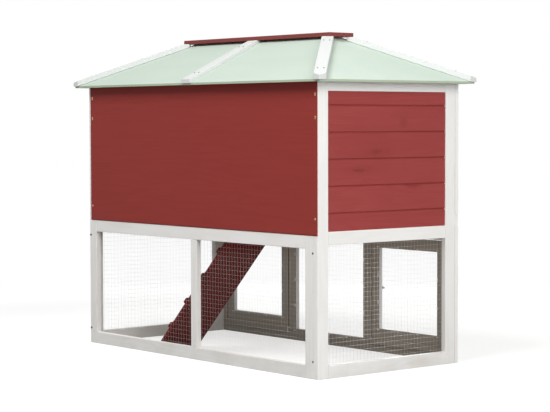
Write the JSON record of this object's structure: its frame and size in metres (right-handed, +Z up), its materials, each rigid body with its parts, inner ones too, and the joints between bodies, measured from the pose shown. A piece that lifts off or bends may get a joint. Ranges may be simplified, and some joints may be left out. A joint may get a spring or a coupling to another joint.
{
  "type": "pet hutch",
  "caption": "Two-storey wooden pet hutch with a hipped mint roof, red boarded house above an open wire mesh run, hinged front doors, pull-out tray and inner ramp.",
  "frame": {"origin": "centre of the bottom of the hutch, on the ground", "axes": "+X to the right along the hutch's length as seen from the doors, +Y to the back panel, +Z up"},
  "size_m": [1.15, 0.583, 0.9278],
  "materials": {
    "white_wood": "white painted softwood, grain faintly raised",
    "red_boards": "barn red stained softwood boards, satin",
    "red_panel": "barn red stained plywood, satin",
    "red_trim": "barn red stained softwood, satin",
    "wire": "galvanised welded wire",
    "mint_sheet": "pale mint mineral-faced roof covering on ply",
    "plain_wood": "plain sawn softwood and ply",
    "zinc": "zinc plated steel",
    "galvanised_tray": "galvanised steel sheet"
  },
  "bodies": {
    "hutch": {"back_frame": "white_wood", "back_mesh": "wire", "back_panel": "red_panel", "back_screws": "zinc", "bolt_keepers": "zinc", "floor_bearers": "plain_wood", "front_lower_frame": "white_wood", "front_lower_mesh": "wire", "front_upper_frame": "white_wood", "front_upper_mesh": "wire", "hinge_frame_leaves": "zinc", "hinge_pins": "zinc", "hip_battens": "white_wood", "left_end_boards": "red_boards", "left_end_frame": "white_wood", "left_end_mesh": "wire", "partition": "plain_wood", "ridge_beam": "plain_wood", "ridge_cap": "red_trim", "right_end_boards": "red_boards", "right_end_frame": "white_wood", "right_end_mesh": "wire", "roof_nails": "zinc", "roof_plates": "plain_wood", "roof_rafters": "plain_wood", "roof_sheet_back_left": "mint_sheet", "roof_sheet_back_right": "mint_sheet", "roof_sheet_end_left": "mint_sheet", "roof_sheet_end_right": "mint_sheet", "roof_sheet_front_left": "mint_sheet", "roof_sheet_front_right": "mint_sheet", "seam_battens": "white_wood", "upper_floor": "plain_wood"},
    "lower_left_door": {"lower_left_door_frame": "white_wood", "lower_left_door_infill": "wire", "lower_left_door_leaves": "zinc", "lower_left_bolt_base": "zinc"},
    "lower_right_door": {"lower_right_door_frame": "white_wood", "lower_right_door_infill": "wire", "lower_right_door_leaves": "zinc", "lower_right_bolt_base": "zinc"},
    "upper_left_door": {"upper_left_door_frame": "white_wood", "upper_left_door_infill": "wire", "upper_left_door_leaves": "zinc", "upper_left_bolt_base": "zinc"},
    "upper_right_door": {"upper_right_door_frame": "white_wood", "upper_right_door_infill": "red_boards", "upper_right_door_leaves": "zinc", "upper_right_bolt_base": "zinc"},
    "lower_left_bolt": {"lower_left_bolt_rod": "zinc"},
    "lower_right_bolt": {"lower_right_bolt_rod": "zinc"},
    "upper_left_bolt": {"upper_left_bolt_rod": "zinc"},
    "upper_right_bolt": {"upper_right_bolt_rod": "zinc"},
    "tray": {"tray_pan": "galvanised_tray", "tray_front": "white_wood", "tray_knobs": "zinc"},
    "ramp": {"ramp_board": "red_trim", "ramp_cleats": "red_trim", "ramp_leaves": "zinc"}
  },
  "joints": [
    {"name": "lower_left_door_hinge", "type": "hinge", "parent": "hutch", "child": "lower_left_door", "pos_m": [-0.49775, -0.2648, 0.1895], "axis": [0, 0, -1], "range_deg": [0, 120]},
    {"name": "lower_right_door_hinge", "type": "hinge", "parent": "hutch", "child": "lower_right_door", "pos_m": [0.49775, -0.2648, 0.1895], "axis": [0, 0, 1], "range_deg": [0, 120]},
    {"name": "upper_left_door_hinge", "type": "hinge", "parent": "hutch", "child": "upper_left_door", "pos_m": [-0.49775, -0.2648, 0.608], "axis": [0, 0, -1], "range_deg": [0, 120]},
    {"name": "upper_right_door_hinge", "type": "hinge", "parent": "hutch", "child": "upper_right_door", "pos_m": [0.49775, -0.2648, 0.608], "axis": [0, 0, 1], "range_deg": [0, 120]},
    {"name": "lower_left_bolt_slide", "type": "slide", "parent": "lower_left_door", "child": "lower_left_bolt", "axis": [1, 0, 0], "range_m": [0, 0.009]},
    {"name": "lower_right_bolt_slide", "type": "slide", "parent": "lower_right_door", "child": "lower_right_bolt", "axis": [-1, 0, 0], "range_m": [0, 0.009]},
    {"name": "upper_left_bolt_slide", "type": "slide", "parent": "upper_left_door", "child": "upper_left_bolt", "axis": [1, 0, 0], "range_m": [0, 0.009]},
    {"name": "upper_right_bolt_slide", "type": "slide", "parent": "upper_right_door", "child": "upper_right_bolt", "axis": [-1, 0, 0], "range_m": [0, 0.009]},
    {"name": "tray_slide", "type": "slide", "parent": "hutch", "child": "tray", "axis": [0, -1, 0], "range_m": [0, 0.42]},
    {"name": "ramp_hinge", "type": "hinge", "parent": "hutch", "child": "ramp", "pos_m": [-0.1467, 0.149, 0.377], "axis": [0, -1, 0], "range_deg": [0, 35]}
  ]
}
